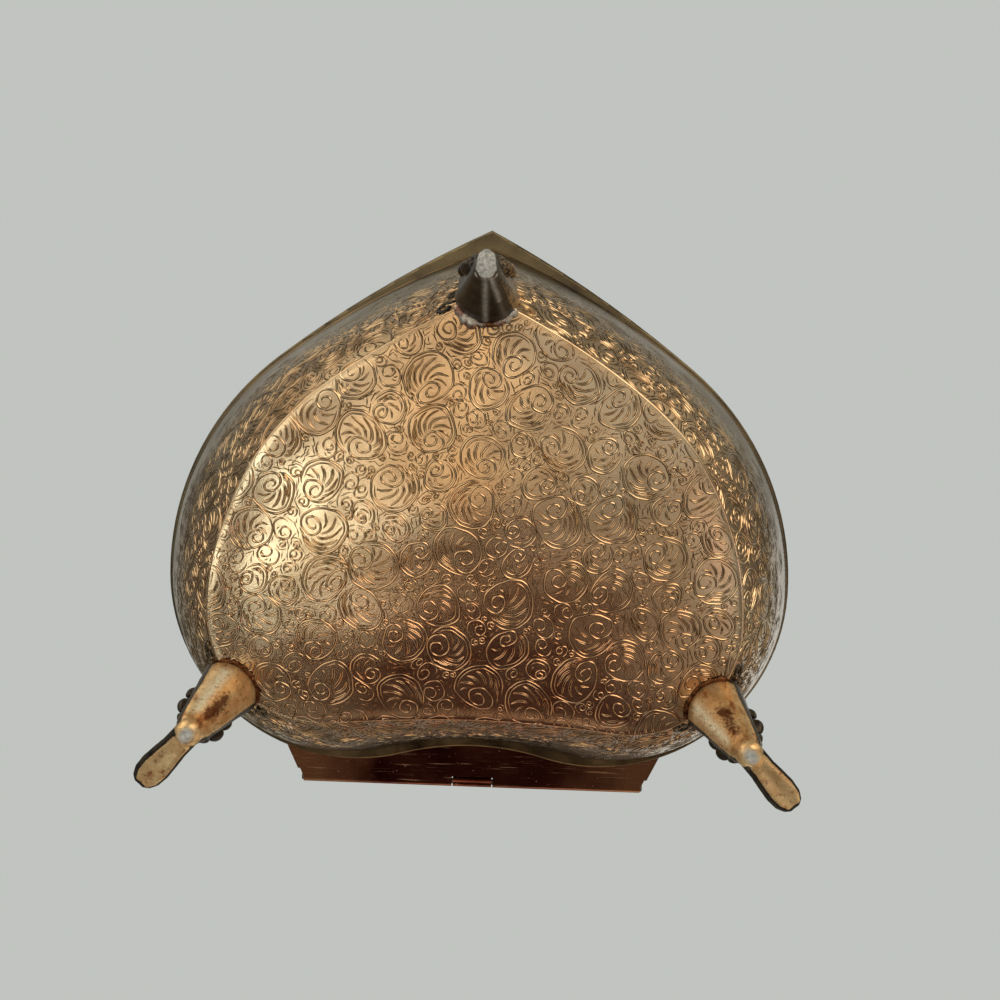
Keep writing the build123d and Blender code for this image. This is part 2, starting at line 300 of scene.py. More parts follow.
# lacquered copper-red leaf: almost a mirror, gone deep red brown, rubbed brighter towards its ends,
# with long fine scratches
def lacqueredLeaf(tree):
    patches = grain(tree, 9, 4, 0.6)
    base = addNode(tree, "ValToRGB", (patches,), stops=((0.35, "#54211A"), (0.72, "#8E543E")))
    place = addNode(tree, "TexCoord", output="Object")
    across = addNode(tree, "Math", (addNode(tree, "SeparateXYZ", (place,), "X"),), operation="ABSOLUTE")
    ragged = addNode(tree, "Math", (patches, 12 * mm, across), operation="MULTIPLY_ADD")
    rubbed = addNode(tree, "MapRange", (ragged, 22 * mm, 33 * mm, 0, 0.75))
    scratches = grain(tree, 0.2, 2, 0.5, stretch=(0.03, 1.0, 1.0))
    specks = grain(tree, 0.5, 2, 0.6)
    mark = addNode(tree, "Math", (
        addNode(tree, "MapRange", (scratches, 0.62, 0.74, 0.0, 0.55)),
        addNode(tree, "MapRange", (specks, 0.68, 0.76, 0.0, 0.6)),
    ), operation="MAXIMUM")
    dulled = addNode(tree, "Math", (
        addNode(tree, "MapRange", (mark, 0, 0.6, 0, 0.5)),
        addNode(tree, "MapRange", (rubbed, 0, 0.75, 0.04, 0.22)),
    ), operation="MAXIMUM")
    return {
        "Base Color": layTints(tree, base, (rubbed, "#B07A50"), (mark, "#C79A70")),
        "Roughness": addNode(tree, "MapRange", (mark, 0, 1, 0.16, 0.5)),
        "Metallic": addNode(tree, "MapRange", (dulled, 0, 1, 1, 0)),
    }


# attributes that say how a cast foot is marked; the rubbed and worn marks also carry painted highlights
footMarks = ("gilt", "worn", "rubbed", "brown")


# white metal, sand cast and flashed with copper gold: grainy and pitted, brown streaks down the
# inner face, almost black where the plating has gone at the sides, bare grey where it stands, and a
# pale gold painted highlight down one side of the leg, with some rubbed plating
def castWhiteMetal(tree):
    gilt, worn, rubbed, brown = [
        addNode(tree, "Attribute", output="Fac", attribute_name=mark) for mark in footMarks
    ]
    patches = grain(tree, 2.2, 5, 0.65)
    streaks = grain(tree, 1.6, 4, 0.6, stretch=(1.0, 1.0, 0.22))
    pits = grain(tree, 0.45, 3, 0.6)
    gold = addNode(tree, "ValToRGB", (patches,), stops=((0.3, "#D9A466"), (0.65, "#F6D49A")))
    stain = addNode(tree, "MapRange", (streaks, 0.56, 0.68, 0.0, 0.85))
    sparkle = addNode(tree, "MapRange", (pits, 0.35, 0.55, 1.1, 0.5))
    # painted highlight: pale gold down one side of the leg, with some rubbed plating
    paintedHighlight = addNode(tree, "Math", (rubbed, sparkle), operation="MULTIPLY")
    smear = addNode(tree, "Math", (streaks, 1.2, brown), operation="MULTIPLY_ADD")
    smear = addNode(tree, "Math", (pits, 1.1, smear), operation="MULTIPLY_ADD")
    smear = addNode(tree, "MapRange", (smear, 1.42, 1.85, 0.0, 0.9))
    pitted = addNode(tree, "MapRange", (pits, 0.6, 0.7, 0.0, 0.75))
    gold = layTints(tree, gold, (stain, "#9A5A30"), (paintedHighlight, "#FFF3CC"))
    gold = layTints(tree, gold, (smear, "#54240F"), (pitted, "#5A3418"))
    ragged = addNode(tree, "MapRange", (pits, 0, 1, -0.25, 0.25))
    edge = addNode(tree, "Math", (gilt, ragged), operation="ADD")
    plated = addNode(tree, "MapRange", (edge, 0.38, 0.62, 0, 1))
    dark = addNode(tree, "ValToRGB", (patches,), stops=((0.35, "#1E1A16"), (0.7, "#4E4436")))
    grey = addNode(tree, "ValToRGB", (pits,), stops=((0.3, "#8E8B84"), (0.7, "#D8D2C2")))
    # less metallic where bare and where the painted highlight lies
    bareAndHighlight = addNode(tree, "Math", (rubbed, worn), operation="MAXIMUM")
    rough = addNode(tree, "Math", (pits, 0.6, patches), operation="MULTIPLY_ADD")
    return {
        "Base Color": layTints(tree, dark, (plated, gold), (worn, grey)),
        "Roughness": addNode(tree, "MapRange", (patches, 0.3, 0.7, 0.28, 0.44)),
        "Metallic": addNode(tree, "MapRange", (bareAndHighlight, 0, 1, 0.74, 0.22)),
        "Normal": addNode(tree, "Bump", {"Height": rough, "Strength": 0.35, "Distance": 0.12 * mm}),
    }


# tin-lead solder, run and left: pale grey with a frosted skin, and brown with burnt flux where the
# attribute says
def runSolder(tree):
    patches = grain(tree, 0.8, 4, 0.6)
    flux = addNode(tree, "Attribute", output="Fac", attribute_name="flux")
    tone = addNode(tree, "ValToRGB", (patches,), stops=((0.3, "#A39B88"), (0.7, "#E4DECB")))
    burnt = addNode(tree, "ValToRGB", (patches,), stops=((0.3, "#3A1E10"), (0.7, "#8A5A38")))
    stain = addNode(tree, "MapRange", (grain(tree, 1.6, 3, 0.6), 0.48, 0.6, 0, 0.8))
    return {
        "Base Color": layTints(tree, tone, (stain, "#7A3A20"), (flux, burnt)),
        "Roughness": 0.36,
        "Metallic": 1.0,
        "Normal": addNode(tree, "Bump", {"Height": patches, "Strength": 0.5, "Distance": 0.2 * mm}),
    }


# mild steel wire, drawn: grey with brown rust specks
def steelWire(tree):
    rust = addNode(tree, "MapRange", (grain(tree, 0.5, 4, 0.6), 0.5, 0.7, 0, 1))
    return {"Base Color": layTints(tree, "#7C756A", (rust, "#4A2E1E")), "Roughness": 0.4, "Metallic": 1.0}


# cotton velvet, woven with a cut pile: matt and deep, with a pale bloom at the edges and darker
# brushed patches
def cutVelvet(tree):
    base = addNode(tree, "ValToRGB", (grain(tree, 8, 3, 0.55),), stops=((0.3, "#5A0E17"), (0.7, "#741420")))
    pile = grain(tree, 0.28, 2, 0.7)
    between = addNode(tree, "MapRange", (pile, 0.35, 0.7, 0.0, 0.45))
    return {
        "Base Color": layTints(tree, base, (between, "#2A060A")),
        "Roughness": 0.9,
        "Sheen Weight": 0.8,
        "Sheen Roughness": 0.35,
        "Sheen Tint": "#F0A8A8",
        "Normal": addNode(tree, "Bump", {"Height": pile, "Strength": 0.7, "Distance": 0.25 * mm}),
    }


# pulp board, pressed and faced with wine-red paper: plain, matt and slightly fibrous
def pulpBoard(tree):
    fibres = grain(tree, 0.6, 4, 0.7, stretch=(1.0, 0.4, 1.0))
    return {
        "Base Color": addNode(tree, "ValToRGB", (fibres,), stops=((0.3, "#460C13"), (0.7, "#5C141C"))),
        "Roughness": 0.9,
    }


embossedBrass = newMaterial("embossedBrass", embossedSheet)
# the rim moulding's colours are darkened as painted shade for the shaded band under its bead
rimBrassPaintedShade = newMaterial("rimBrassPaintedShade", drawnBrass, "#4E3E2A", "#8F744E", 0.24)
flangeBrass = newMaterial("flangeBrass", drawnBrass, "#4E4537", "#857656", 0.32)
leafBrass = newMaterial("leafBrass", lacqueredLeaf)
footMetal = newMaterial("footMetal", castWhiteMetal)
solderMetal = newMaterial("solderMetal", runSolder)
pinSteel = newMaterial("pinSteel", steelWire)
redVelvet = newMaterial("redVelvet", cutVelvet)
board = newMaterial("board", pulpBoard)

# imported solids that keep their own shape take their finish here
for nodeName, material in {
    "body_rim": rimBrassPaintedShade, "lid_rim": flangeBrass, "hinge_leaf_body": leafBrass,
    "hinge_leaf_lid": leafBrass, "hinge_pin": pinSteel, "base_card": board, "lid_card": board,
}.items():
    for holder in nodes[nodeName].material_slots:
        holder.material = material


# gives a finished mesh in metres its material and body
def finishPiece(mesh, name, material, body):
    mesh.materials.clear()
    mesh.materials.append(material)
    piece = addObject(name, mesh)
    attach(piece, body)
    return piece


def finishMesh(bm, name, material, body):
    for face in bm.faces:
        face.smooth = True
    mesh = writeMesh(bm, name)
    mesh.transform(Matrix.Scale(mm, 4))
    return finishPiece(mesh, name, material, body)


def setAttribute(mesh, name, values):
    layer = mesh.attributes.new(name, "FLOAT", "POINT")
    layer.data.foreach_set("value", np.asarray(values, np.float32))


def readPoints(mesh):
    points = np.empty(len(mesh.vertices) * 3)
    mesh.vertices.foreach_get("co", points)
    return points.reshape(-1, 3)


# applies an object's modifiers, hands back the mesh and drops the object
def bakeModifiers(holder):
    bpy.context.view_layer.update()
    made = bpy.data.meshes.new_from_object(holder.evaluated_get(bpy.context.evaluated_depsgraph_get()))
    bpy.data.objects.remove(holder)
    return made


# melts overlapping closed shapes into one casting
def melt(bm, name, voxel, rounds):
    holder = addObject(name, writeMesh(bm, name))
    remesh = holder.modifiers.new("melt", "REMESH")
    remesh.mode = "VOXEL"
    remesh.voxel_size = voxel
    soften = holder.modifiers.new("soften", "SMOOTH")
    soften.factor = 0.5
    soften.iterations = rounds
    return bakeModifiers(holder)


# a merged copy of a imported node, in millimetres
def mergedCopy(nodeName):
    bm = bmesh.new()
    bm.from_mesh(nodes[nodeName].data)
    bmesh.ops.scale(bm, verts=bm.verts, vec=(1 / mm, 1 / mm, 1 / mm))
    bmesh.ops.remove_doubles(bm, verts=bm.verts, dist=0.0001)
    return bm


def rayTree(nodeName):
    bm = mergedCopy(nodeName)
    found = BVHTree.FromBMesh(bm)
    bm.free()
    return found


# casts a ray, and again from a hair beside it where it slips between two triangles
def castRay(tree, start, onward):
    for aside in (0, 0.003, -0.004, 0.011):
        hit = tree.ray_cast(start + Vector((aside, aside * 1.3, aside * 0.7)), onward)[0]
        if hit is not None:
            return hit
    raise ValueError(f"no surface from {start} along {onward}")


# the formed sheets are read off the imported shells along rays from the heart's middle: for each angle
# an inner run, from the middle to a crease, and an outer run, from the crease to the edge
formed = {"middleY": 12.0, "angles": 360, "innerSteps": 24, "outerSteps": 30, "away": 120}
heartMiddle = Vector((0, formed["middleY"], 0))
upwards = Vector((0, 0, 1))


def rayDirections():
    turns = [2 * math.pi * index / formed["angles"] for index in range(formed["angles"])]
    return [Vector((math.cos(turn), math.sin(turn), 0)) for turn in turns]


# how far out a shell's wall stands at one height
def wallRadius(tree, out, z):
    start = heartMiddle + out * formed["away"] + Vector((0, 0, z))
    return (castRay(tree, start, -out) - heartMiddle).dot(out)


# how far along a polyline each of its points is
def runOf(points):
    return np.concatenate([[0], np.cumsum(np.hypot(*np.diff(points, axis=0).T))])


# lays a polyline out evenly by its own length, which comes back too
def evenly(points, count):
    points = np.asarray(points)
    run = runOf(points)
    even = np.linspace(0, run[-1], count + 1)
    return np.stack([np.interp(even, run, points[:, 0]), np.interp(even, run, points[:, 1])], 1), run[-1]


# a polyline at even steps
def stepped(points, step):
    return evenly(points, max(int(round(runOf(points)[-1] / step)), 2))[0]


# gathers the (radius, height) runs of all angles into a sheet, with the seed and depth of its dents
def gatherSheet(runs, waves):
    inner, innerLength = zip(*[evenly(run, formed["innerSteps"]) for run, _ in runs])
    outer, outerLength = zip(*[evenly(run, formed["outerSteps"]) for _, run in runs])
    lines = np.concatenate([np.array(inner), np.array(outer)[:, 1:]], 1)
    return {"lines": lines, "inner": np.array(innerLength), "outer": np.array(outerLength), "waves": waves}


# soft dents: a sum of long waves, the same for the sheet and for what is raised on it
def dents(points, seed, depth):
    rng = np.random.default_rng(seed)
    total = np.zeros(len(points))
    count = 14
    for _ in range(count):
        wave = rng.normal(size=3)
        wave *= 2 * math.pi / rng.uniform(14, 42) / np.linalg.norm(wave)
        total += np.sin(points @ wave + rng.uniform(0, 6.28))
    return total / math.sqrt(count / 2) * depth


# the two measured angles beside an angle, and how far it lies from the first to the second
def besideAngle(angle, count):
    across = (angle / (2 * math.pi) * count) % count
    first = np.floor(across).astype(int) % count
    return first, (first + 1) % count, across - np.floor(across)


# reads a formed sheet at angles and at stations: 0 middle, 1 crease, 2 edge
def sheetPoint(sheet, angle, station):
    lines = sheet["lines"]
    first, second, across = besideAngle(angle, lines.shape[0])
    steps = formed["innerSteps"]
    rows = np.where(station <= 1, station * steps, steps + (station - 1) * formed["outerSteps"])
    rows = np.clip(rows, 0, lines.shape[1] - 1.001)
    row = rows.astype(int)
    onward, across = (rows - row)[:, None], across[:, None]
    one, two = [lines[ray, row] * (1 - onward) + lines[ray, row + 1] * onward for ray in (first, second)]
    radius, height = (one * (1 - across) + two * across).T
    return np.stack([radius * np.cos(angle), radius * np.sin(angle) + formed["middleY"], height], 1)


# a point on the sheet raised by a height along its outward normal, dents included
def raised(sheet, angle, station, height, outward):
    base = sheetPoint(sheet, angle, station)
    step, turn = 0.01, 0.012
    ahead = sheetPoint(sheet, angle, np.minimum(station + step, 2))
    behind = sheetPoint(sheet, angle, np.maximum(station - step, 0))
    around = sheetPoint(sheet, angle + turn, station) - sheetPoint(sheet, angle - turn, station)
    normal = np.cross(around, ahead - behind) * outward
    normal /= np.maximum(np.linalg.norm(normal, axis=1), 1e-9)[:, None]
    normal[station < 0.03] = (0, 0, -outward)
    fadeAtEdge = np.clip((2 - station) * 4, 0, 1)
    return base + normal * (height + dents(base, *sheet["waves"]) * fadeAtEdge)[:, None]


# blank coordinates (the flat sheet before pressing) to angle and station
def fromBlank(sheet, x, y):
    angle = np.arctan2(y, x)
    reach = np.hypot(x, y)
    first, second, across = besideAngle(angle, len(sheet["inner"]))
    inner, outer = [
        sheet[run][first] * (1 - across) + sheet[run][second] * across for run in ("inner", "outer")
    ]
    return angle, np.where(reach < inner, reach / inner, 1 + (reach - inner) / outer)


# rings of a sheet, grown outwards from a fan at its middle or from an open ring
def growSheet(sheet, segments, stations, outward, lift=None, fan=True):
    bm = bmesh.new()
    bmesh.ops.create_circle(bm, segments=segments, radius=1, cap_ends=fan, cap_tris=fan)
    placed, rim = [], []
    for v in bm.verts:
        if v.co.length < 0.5:
            placed.append((v, 0.0, 0.0))
        else:
            placed.append((v, math.atan2(v.co.y, v.co.x), stations[0]))
            rim.append(v)
    edges = [e for e in bm.edges if e.verts[0] in rim and e.verts[1] in rim]
    for station in stations[1:]:
        grown = bmesh.ops.extrude_edge_only(bm, edges=edges)["geom"]
        fresh = [item for item in grown if isinstance(item, bmesh.types.BMVert)]
        edges = [item for item in grown if isinstance(item, bmesh.types.BMEdge)
                 and all(v in fresh for v in item.verts)]
        placed += [(v, math.atan2(v.co.y, v.co.x), station) for v in fresh]
    angle = np.array([p[1] for p in placed])
    station = np.array([p[2] for p in placed])
    height = np.zeros(len(placed)) if lift is None else lift(angle, station)
    for (v, _, _), point in zip(placed, raised(sheet, angle, station, height, outward)):
        v.co = point
    return bm


# a sheet with its wall's thickness, evenly polished
def pressedSkin(name, sheet, maker, stations, outward, body, lift=None):
    bm = growSheet(sheet, maker["segments"], stations, outward, lift)
    bmesh.ops.recalc_face_normals(bm, faces=bm.faces)
    bmesh.ops.solidify(bm, geom=bm.faces, thickness=maker["thick"])
    skin = finishMesh(bm, name, embossedBrass, body)
    setAttribute(skin.data, "crest", np.full(len(skin.data.vertices), maker["polish"]))
    return skin


# the scroll pattern is drawn on the flat blank and then formed with it. First, round medallions of
# falling size are packed into a region of the blank, each grown until it meets another
def packMedallions(chance, inside, reach, sizes, margin):
    farOff = 999.0
    centres, radii = np.array([[farOff, farOff]]), np.array([0.0])
    for low, high, tries in sizes:
        for _ in range(tries):
            spot = np.array([chance.uniform(-reach, reach), chance.uniform(-reach, reach)])
            space = np.min(np.hypot(*(centres - spot).T) - radii) - margin
            if space < low or not inside(*spot):
                continue
            centres = np.vstack([centres, spot])
            radii = np.append(radii, min(space, high * chance.uniform(0.82, 1.0)))
    return centres[1:], radii[1:]


def smoothStep(value):
    value = np.clip(value, 0, 1)
    return value * value * (3 - 2 * value)


# points of a circle's arc
def arcPoints(centre, reach, turn):
    return centre + reach * np.stack([np.cos(turn), np.sin(turn)], 1)


# arcs that run into each other, each tangent inside the last: (radius, turns) one after another
def windingArcs(centre, start, hand, arcs, step):
    points = []
    turn = start
    middle = np.array(centre, float)
    before = arcs[0][0]
    for radius, turns in arcs:
        middle = middle + (before - radius) * np.array([math.cos(turn), math.sin(turn)])
        count = max(int(2 * math.pi * radius * turns / step), 4)
        points.append(arcPoints(middle, radius, turn + hand * 2 * math.pi * turns * np.arange(count) / count))
        turn += hand * 2 * math.pi * turns
        before = radius
    return np.concatenate(points)


# how closely each kind of line is stepped, and how broad it is beside a medallion's ring
lineStep = {"ring": 0.42, "second": 0.42, "finger": 0.37, "curl": 0.33}
lineWeight = {"ring": 1.0, "second": 0.75, "finger": 0.75, "curl": 0.85, "comma": 0.7, "leaf": 0.7}


# one medallion: a ring that winds in to an off-centre volute, a second line inside it, and outlined
# leaf fingers that sweep through the crescent between
def medallion(chance, centre, radius, strokes):
    hand = chance.choice((-1, 1))
    start = chance.uniform(0, 2 * math.pi)
    ringTurns = chance.uniform(0.82, 0.96)
    eye = radius * chance.uniform(0.4, 0.5)
    arcs = ((radius, ringTurns), (eye, chance.uniform(0.55, 0.8)), (0.62 * eye, 0.6), (0.3 * eye, 0.5))
    strokes.append((windingArcs(centre, start, hand, arcs, lineStep["ring"]), lineWeight["ring"]))
    arcs = ((radius - 0.5, chance.uniform(0.45, 0.66)),)
    second = windingArcs(centre, start + hand * 0.3, hand, arcs, lineStep["second"])
    strokes.append((second, lineWeight["second"]))
    lean = start + hand * 2 * math.pi * ringTurns
    volute = centre + (radius - eye) * np.array([math.cos(lean), math.sin(lean)])
    offset = volute - centre
    fingers = max(int(chance.uniform(1.0, 1.2) * radius * 3.5), 5)
    sweep = hand * chance.uniform(0.55, 1.0) * chance.choice((1, 1, -1))
    for number in range(fingers):
        turn = lean + math.pi + (number / (fingers - 1) - 0.5) * 4.7 - sweep * 0.5
        first = eye + 0.32
        compass = np.array([math.cos(turn + sweep), math.sin(turn + sweep)])
        toRing = -compass @ offset + math.sqrt((compass @ offset) ** 2 + radius ** 2 - offset @ offset)
        last = toRing - 0.8
        if last - first < 0.3:
            continue
        share = np.linspace(0, 1, max(int((last - first) / 0.24), 4))
        wide = chance.uniform(0.22, 0.28) * np.sqrt(1 - share ** 4) * (0.45 + 0.55 * share)
        out = first + (last - first) * share
        bend = turn + sweep * share ** 1.3
        there, back = [out[:, None] * np.stack([np.cos(side), np.sin(side)], 1)
                       for side in (bend + wide / out, bend - wide / out)]
        finger = stepped(np.concatenate([there, back[::-1]]), lineStep["finger"])
        strokes.append((volute + finger, lineWeight["finger"]))


# a small curl: a spiral, with a few commas beside it where there's room
def smallCurl(chance, centre, radius, strokes):
    hand = chance.choice((-1, 1))
    start = chance.uniform(0, 2 * math.pi)
    arcs = ((radius, chance.uniform(0.7, 0.9)), (radius * 0.56, 0.7), (radius * 0.26, 0.5))
    strokes.append((windingArcs(centre, start, hand, arcs, lineStep["curl"]), lineWeight["curl"]))
    if radius > 1.25:
        for away in (1.9, 2.6, 3.3, 4.0):
            turn = start + hand * (away + np.linspace(0, 0.5, 5))
            reach = radius * np.linspace(0.38, 0.72, 5)[:, None]
            strokes.append((arcPoints(centre, reach, turn), lineWeight["comma"]))


# short hooked leaves that follow the nearest medallion through the gaps
def gapLeaves(chance, inside, reach, centres, radii, pitch, strokes):
    for x in np.arange(-reach, reach, pitch):
        for y in np.arange(-reach, reach, pitch * 1.1):
            spot = np.array([x + chance.uniform(-0.25, 0.25), y + chance.uniform(-0.25, 0.25)])
            away = np.hypot(*(centres - spot).T) - radii
            nearest = int(np.argmin(away))
            if not 0.27 < away[nearest] < 1.6 or not inside(*spot):
                continue
            arm = spot - centres[nearest]
            radius = np.hypot(*arm)
            half = chance.choice((-1, 1)) * chance.uniform(0.4, 0.75) / radius
            share = np.linspace(-1, 1, 5)
            turn = math.atan2(arm[1], arm[0]) + half * share
            bend = radius + 0.22 * np.clip(share, 0, 1) ** 2
            strokes.append((arcPoints(centres[nearest], bend[:, None], turn), lineWeight["leaf"]))


def drawPattern(sheet, options):
    chance = random.Random(options["seed"])
    reach = float(np.max(sheet["inner"] + sheet["outer"]))

    def inside(x, y):
        return fromBlank(sheet, np.array([x]), np.array([y]))[1][0] < options["fadeTo"]

    centres, radii = packMedallions(chance, inside, reach, options["sizes"], options["margin"])
    strokes = []
    for centre, radius in zip(centres, radii):
        drawn = medallion if radius > options["curlBelow"] else smallCurl
        drawn(chance, centre, radius, strokes)
    gapLeaves(chance, inside, reach, centres, radii, options["gapPitch"], strokes)
    print("pattern:", len(radii), "scrolls,", len(strokes), "strokes")
    return strokes


# the strokes as flat raised lines: curves on the blank, swept with a section like a low roof, whose
# crest is sharp and whose sides ease out at the foot
def sweptStrokes(name, strokes, width, height):
    section = bpy.data.curves.new(name + "Section", "CURVE")
    section.dimensions = "2D"
    spline = section.splines.new("POLY")
    ease, low = 0.32 * width, 0.25 * height
    profile = ((-width / 2, 0), (-ease, low), (0, height), (ease, low), (width / 2, 0))
    spline.points.add(len(profile) - 1)
    for point, place in zip(spline.points, profile):
        point.co = (*place, 0, 1)
    spline.use_cyclic_u = True
    sectionObject = bpy.data.objects.new(name + "Section", section)
    data = bpy.data.curves.new(name, "CURVE")
    data.dimensions = "3D"
    data.twist_mode = "Z_UP"
    data.bevel_mode = "OBJECT"
    data.bevel_object = sectionObject
    data.use_fill_caps = True
    for line, weight in strokes:
        count = len(line)
        spline = data.splines.new("POLY")
        spline.points.add(count - 1)
        spline.points.foreach_set("co", np.column_stack([line, np.zeros(count), np.ones(count)]).ravel())
        taper = np.minimum(np.arange(count), np.arange(count)[::-1]) / 2.5
        spline.points.foreach_set("radius", weight * (0.35 + 0.65 * np.clip(taper, 0, 1)))
    holder = addObject(name, data)
    scene.collection.objects.link(sectionObject)
    mesh = bakeModifiers(holder)
    bpy.data.objects.remove(sectionObject)
    return mesh


# a hand-cut roller is never true: a slow drift and a small tremble over the flat pattern
def warp(points):
    drift = np.zeros_like(points)
    for size, depth, turn in ((13.0, 0.3, 0.4), (6.7, 0.1, 1.9), (3.1, 0.045, 3.3), (1.7, 0.025, 5.2)):
        x, y = points[:, 0] * 6.283 / size, points[:, 1] * 6.283 / size
        drift[:, 0] += depth * np.sin(y + turn + 0.6 * np.sin(x * 0.7 + turn))
        drift[:, 1] += depth * np.sin(x + 2.1 * turn + 0.6 * np.sin(y * 0.8 - turn))
    return points + drift


# forms flat strokes over a sheet, and notes how high each point stands for the polish and for the painted
# shade and highlight
def formStrokes(name, strokes, sheet, outward, options, body):
    mesh = sweptStrokes(name, strokes, options["width"], options["height"])
    flat = readPoints(mesh)
    angle, station = fromBlank(sheet, *warp(flat[:, :2]).T)
    fade = smoothStep((options["fadeTo"] - station) / options["fadeOver"])
    height = flat[:, 2] * (options["faint"] + (1 - options["faint"]) * fade) - options["sink"]
    points = raised(sheet, angle, np.minimum(station, 2), height, outward)
    mesh.vertices.foreach_set("co", points.ravel() * mm)
    mesh.update()
    bm = bmesh.new()
    bm.from_mesh(mesh)
    bmesh.ops.recalc_face_normals(bm, faces=bm.faces)
    for face in bm.faces:
        face.smooth = True
    for edge in bm.edges:
        edge.smooth = edge.calc_face_angle(0) < options["sharpFrom"]
    bm.to_mesh(mesh)
    bm.free()
    finishPiece(mesh, name, embossedBrass, body)
    setAttribute(mesh, "crest", np.clip(flat[:, 2] / options["height"] / 0.7, 0, 1))
    print(name, len(mesh.polygons), "faces")


# raises a pattern on a sheet, parted by a station and by quarters, so that no piece grows too large
def raiseScrolls(name, sheet, outward, options, split, body):
    groups = {}
    for line, weight in drawPattern(sheet, options):
        angle, where = fromBlank(sheet, *line[len(line) // 2][:, None])
        quarter = int(angle[0] % (2 * math.pi) / (2 * math.pi) * 4)
        zone = "middle" if where[0] < split else "edge"
        groups.setdefault(f"{name}_{zone}_{quarter + 1}", []).append((line, weight))
    for pieceName, strokes in groups.items():
        formStrokes(pieceName, strokes, sheet, outward, options, body)


print("bowl")
bowlMaker = {
    "segments": 240, "thick": 0.55, "polish": 0.75, "dents": (3, 0.11),
    "creaseHeight": 15.0, "crease": 0.12, "creaseWidth": 0.01, "soften": 0.4, "blendFrom": 0.84,
    "readings": 26,
}


# the bowl: its bottom runs up into the crease, and its wall from there to the mouth
def measureBowl():
    tree = rayTree("body_shell")
    low, high = [corner.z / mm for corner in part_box("body_shell")[:2]]
    creaseZ = bowlMaker["creaseHeight"] + bowlMaker["soften"]
    shares = np.linspace(0, 1, bowlMaker["readings"])
    blendFrom = bowlMaker["blendFrom"]
    runs = []
    for out in rayDirections():
        heights = [creaseZ + (high - creaseZ - 0.05) * share for share in shares]
        wall = [(wallRadius(tree, out, z), z) for z in heights]
        crease = wall[0][0]
        bottom = []
        for share in shares:
            radius = min(share * crease, crease - bowlMaker["soften"])
            z = castRay(tree, heartMiddle + out * radius + Vector((0, 0, low - 20)), upwards).z
            blend = max(share - blendFrom, 0) ** 2 / (1 - blendFrom) ** 2
            bottom.append((share * crease, z + (creaseZ - z) * blend))
        runs.append((bottom, wall))
    return gatherSheet(runs, bowlMaker["dents"])


# the crease stands up as a thin hard line between the bottom and the wall
def creaseLift(angle, station):
    return bowlMaker["crease"] * np.exp(-((station - 1) / bowlMaker["creaseWidth"]) ** 2)


bowlSheet = measureBowl()
creaseStations = (0.955, 0.975, 0.988, 0.995, 1.0, 1.005, 1.014, 1.03)
bowlStations = [*np.linspace(0.03, 0.93, 26), *creaseStations, *np.linspace(1.06, 2.0, 36)]
bowl = pressedSkin("bowl", bowlSheet, bowlMaker, bowlStations, 1, "box", creaseLift)
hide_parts("body_shell")

print("bowl pattern")
bowlPattern = {
    "seed": 7, "width": 0.4, "height": 0.15, "sink": 0.012, "fadeTo": 1.74, "fadeOver": 0.62, "faint": 0.26,
    # smallest and largest radius, and how many tries
    "sizes": ((2.9, 3.7, 2600), (2.0, 2.8, 4200), (1.1, 1.8, 8000), (0.42, 0.95, 14000)),
    "margin": 0.14, "curlBelow": 1.6, "gapPitch": 0.72, "sharpFrom": 0.42,
}
raiseScrolls("bowl_scrolls", bowlSheet, 1, bowlPattern, 1.0, "box")

# cast feet: a smooth tapering leg, half round inside and leafy outside, with lobes down both edges,
# curls that lie on the wall at its root, a worn heel to stand on and a spooned toe
footMaker = {
    # place of the heel, and which way it points
    "places": {
        "foot_front": (0.0, -38.8, -90.0), "foot_back_left": (-38.6, 25.7, 132.0),
        "foot_back_right": (38.6, 25.7, 48.0),
    },
    # reach out from the heel, height, slope, half width, half thickness
    "leg": (
        (-1.6, 25.5, -86, 3.4, 2.0), (-2.4, 20.0, -84, 4.4, 4.0), (-2.7, 16.0, -83, 4.75, 4.1),
        (-2.5, 13.0, -81, 4.3, 3.5), (-2.0, 10.0, -76, 3.75, 2.8), (-1.4, 7.4, -72, 3.35, 2.3),
        (-0.8, 4.8, -66, 2.9, 2.0), (-0.2, 2.8, -60, 2.45, 1.8), (0.2, 1.6, -50, 2.0, 1.4),
    ),
    "toe": (
        (-0.8, 1.9, -8, 1.9, 1.3), (1.2, 1.8, -2, 1.95, 1.15), (3.0, 1.8, 3, 1.95, 1.05),
        (5.0, 1.9, 7, 2.15, 1.0), (7.0, 2.1, 11, 2.3, 0.98), (8.8, 2.35, 14, 2.15, 0.9),
        (10.0, 2.55, 16, 1.6, 0.75), (10.6, 2.6, 17, 0.8, 0.5),
    ),
    "stub": ((-0.8, 1.55, -8, 1.5, 1.25), (0.6, 1.4, 0, 1.35, 1.1), (1.6, 1.5, 6, 1.1, 0.9)),
    # height, reach, half width at the leg's edge, size, turn
    "lobes": ((12.6, 0.4, 3.35, 1.5, 12), (7.4, 0.3, 3.05, 1.75, -12), (3.9, 0.3, 2.25, 1.0, -30)),
    # height, distance from the middle, radius, thickness
    "curls": ((17.0, 4.3, 1.5, 0.5), (20.6, 3.6, 1.15, 0.42)),
    # half length, half width, half height, height of its middle
    "heel": (2.0, 1.95, 1.75, 1.6),
    "brokenHeel": 0.72,
    "voxel": 0.16,
    "rounds": 5,
    "heelRounds": 12,
    "wear": 0.2,
    "skin": -0.25,
    "breakReach": 0.9,
    "breakLean": -60.0,
}


# caps the first ring of a run, or bridges a ring to the one before
def joinRings(bm, before, ring):
    if before is None:
        bmesh.ops.contextual_create(bm, geom=ring)
        return
    edges = {e for group in (ring, before) for v in group for e in v.link_edges if e.other_vert(v) in group}
    bmesh.ops.bridge_loops(bm, edges=list(edges))


